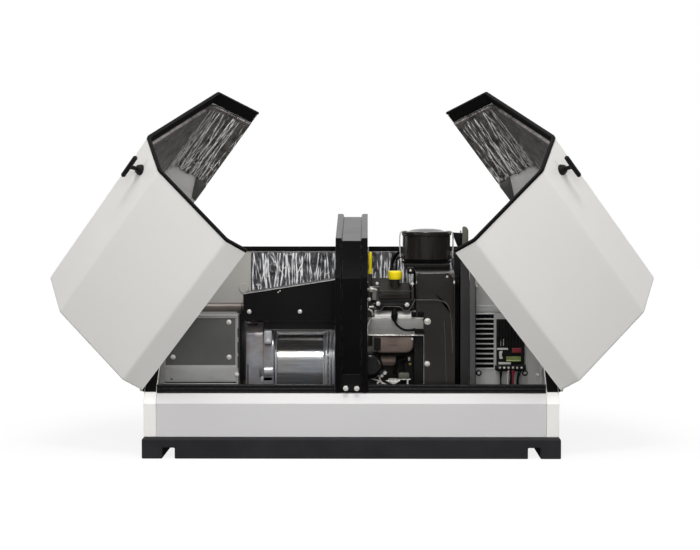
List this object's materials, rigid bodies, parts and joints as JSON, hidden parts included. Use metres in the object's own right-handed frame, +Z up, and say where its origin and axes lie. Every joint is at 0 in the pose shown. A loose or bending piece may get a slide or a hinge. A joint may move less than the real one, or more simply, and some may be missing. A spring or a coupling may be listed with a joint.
{
  "type": "home standby generator",
  "caption": "Home standby generator: white cabinet on a composite pad, gull-wing lids open on sloping end hinges over an air-cooled engine, alternator, silencer and charger.",
  "frame": {"origin": "middle of the pad's underside", "axes": "+X to the right along the pad's length, +Y to the rear, +Z up; the front faces -Y"},
  "size_m": [1.8058, 0.9412, 1.0779],
  "materials": {
    "composite_pad": "charcoal composite",
    "white_panel": "white powder coat",
    "black_steel": "satin black powder coat",
    "black_plastic": "moulded black",
    "black_rubber": "matte",
    "foil": "crumpled foil over foam",
    "grey_steel": "grey coated sheet",
    "heated_pipe": "heat-browned tube",
    "bright_steel": "machined",
    "cast_aluminium": "as cast",
    "yellow_plastic": "moulded yellow"
  },
  "bodies": {
    "cabinet": {"base_pad": "composite_pad", "floor_pan": "black_steel", "front_panel": "white_panel", "back_wall": "white_panel", "back_insulation": "foil", "left_end_wall": "white_panel", "right_end_wall": "white_panel", "left_sill": "black_plastic", "right_sill": "black_plastic", "centre_arch": "black_steel", "arch_foot_plate": "black_steel", "left_hinge_fixed_leaf": "black_steel", "right_hinge_fixed_leaf": "black_steel", "left_hinge_pin": "bright_steel", "right_hinge_pin": "bright_steel", "muffler_box": "grey_steel", "muffler_cover_plate": "grey_steel", "exhaust_pipe": "heated_pipe", "left_partition": "black_steel", "heat_shield": "black_steel", "air_duct": "black_plastic", "alternator_stator": "bright_steel", "alternator_adapter": "cast_aluminium", "alternator_end_bracket": "cast_aluminium", "engine_skid": "black_steel", "crankcase": "cast_aluminium", "front_cylinder": "cast_aluminium", "rear_cylinder": "cast_aluminium", "front_rocker_cover": "black_plastic", "rear_rocker_cover": "black_plastic", "oil_filter": "black_steel", "cylinder_shroud": "grey_steel", "spark_lead": "black_rubber", "blower_housing": "black_plastic", "air_cleaner_can": "black_plastic", "air_cleaner_lid": "black_plastic", "right_partition": "black_steel", "equipment_panel": "grey_steel", "charger_module": "black_plastic", "wire_loom": "black_rubber", "battery": "black_plastic"},
    "left_lid": {"left_lid_shell": "white_panel", "left_lid_seal": "black_rubber", "left_lid_insulation": "foil", "left_hinge_moving_leaf": "black_steel", "left_latch_base": "black_plastic"},
    "right_lid": {"right_lid_shell": "white_panel", "right_lid_seal": "black_rubber", "right_lid_insulation": "foil", "right_hinge_moving_leaf": "black_steel", "right_latch_base": "black_plastic"},
    "left_latch": {"left_latch_handle": "black_plastic"},
    "right_latch": {"right_latch_handle": "black_plastic"},
    "running_gear": {"crankshaft": "bright_steel", "alternator_rotor": "bright_steel", "flywheel_fan": "cast_aluminium"},
    "oil_cap": {"oil_cap": "yellow_plastic"},
    "dipstick": {"dipstick": "yellow_plastic"},
    "left_clip": {"air_cleaner_left_clip": "bright_steel"},
    "right_clip": {"air_cleaner_right_clip": "bright_steel"}
  },
  "joints": [
    {"name": "left_lid_hinge", "type": "hinge", "parent": "cabinet", "child": "left_lid", "pos_m": [-0.6148, -0.3145, 0.19], "axis": [0, -0.8462, -0.5329], "range_deg": [-56.7, 0]},
    {"name": "right_lid_hinge", "type": "hinge", "parent": "cabinet", "child": "right_lid", "pos_m": [0.6148, -0.3145, 0.19], "axis": [0, 0.8462, 0.5329], "range_deg": [-56.7, 0]},
    {"name": "left_latch_turn", "type": "hinge", "parent": "left_lid", "child": "left_latch", "pos_m": [-0.59813, -0.44241, 0.83854], "axis": [-0.7839, -0.568, 0.2508], "range_deg": [0, 90]},
    {"name": "right_latch_turn", "type": "hinge", "parent": "right_lid", "child": "right_latch", "pos_m": [0.59813, -0.44241, 0.83854], "axis": [-0.7839, 0.568, -0.2508], "range_deg": [0, 90]},
    {"name": "crank_spin", "type": "hinge", "parent": "cabinet", "child": "running_gear", "pos_m": [0, 0.005, 0.232], "axis": [1, 0, 0], "continuous": true},
    {"name": "oil_cap_turn", "type": "hinge", "parent": "cabinet", "child": "oil_cap", "pos_m": [0.129, -0.19, 0.52], "axis": [0, 0, 1], "range_deg": [0, 90]},
    {"name": "dipstick_pull", "type": "slide", "parent": "cabinet", "child": "dipstick", "axis": [0, 0, 1], "range_m": [0, 0.12]},
    {"name": "left_clip_swing", "type": "hinge", "parent": "cabinet", "child": "left_clip", "pos_m": [0.149, 0.103, 0.574], "axis": [0, -1, 0], "range_deg": [0, 95]},
    {"name": "right_clip_swing", "type": "hinge", "parent": "cabinet", "child": "right_clip", "pos_m": [0.309, 0.103, 0.574], "axis": [0, 1, 0], "range_deg": [0, 95]}
  ]
}
